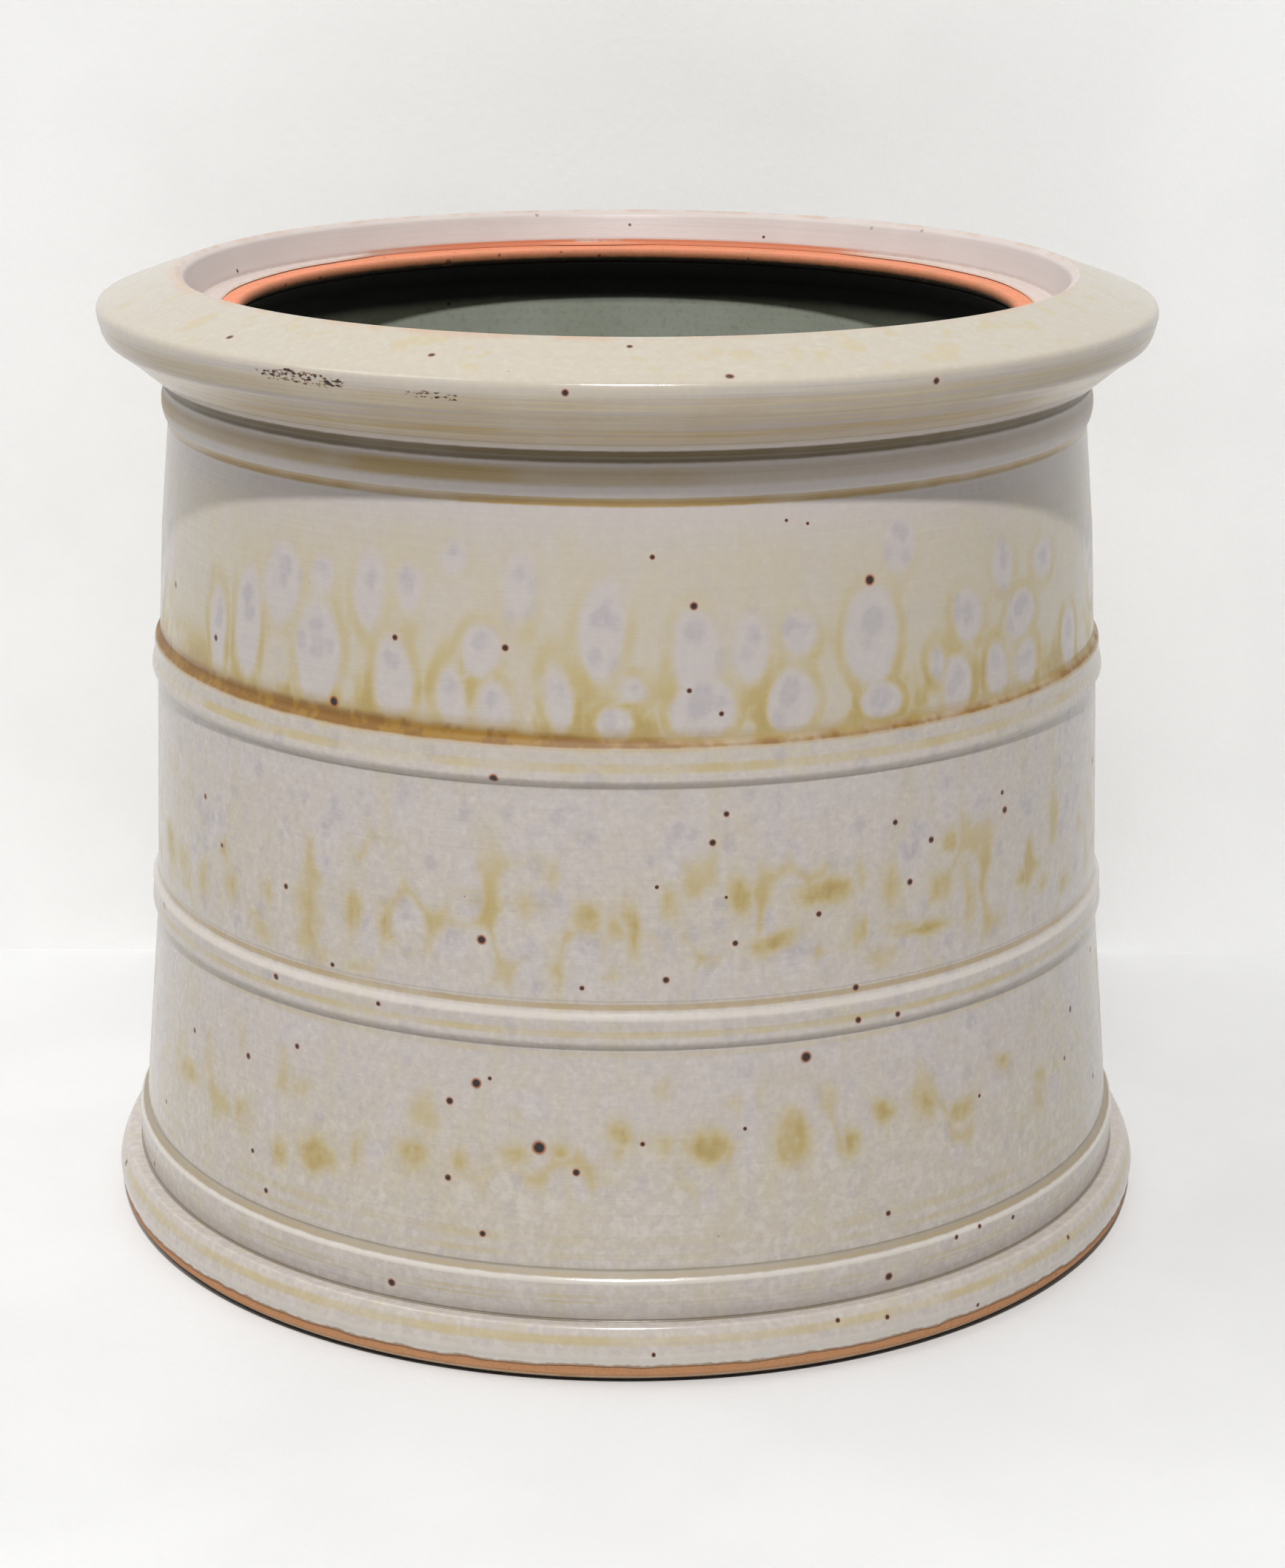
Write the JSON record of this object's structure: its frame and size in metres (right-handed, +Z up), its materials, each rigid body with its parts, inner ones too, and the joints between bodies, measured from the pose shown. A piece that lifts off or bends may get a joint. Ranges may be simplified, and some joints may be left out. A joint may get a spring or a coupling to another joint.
{
  "type": "stoneware jar",
  "caption": "Open wheel-thrown stoneware jar with a flared rim, a stepped seat for a lid inside it, raised cordons and ash glaze.",
  "frame": {"origin": "centre of the face that the jar rests on, on its turning axis", "axes": "+Z up along the turning axis; the jar is the same all round, so +X and +Y have no mark of their own"},
  "size_m": [0.2704, 0.2704, 0.24],
  "materials": {
    "bare_clay": "matte fired stoneware, toasted orange-brown where no glaze covers it",
    "outer_glaze": "satin-gloss lavender-grey and cream ash glaze with yellow-ochre runs and dark iron specks",
    "gallery_glaze": "satin-gloss lavender-grey glaze, cream on the level ledge",
    "liner_glaze": "glossy grey-teal liner glaze, softly mottled"
  },
  "bodies": {
    "root": {"clay_body": "bare_clay", "outer_glaze": "outer_glaze", "gallery_glaze": "gallery_glaze", "liner_glaze": "liner_glaze"}
  },
  "joints": []
}
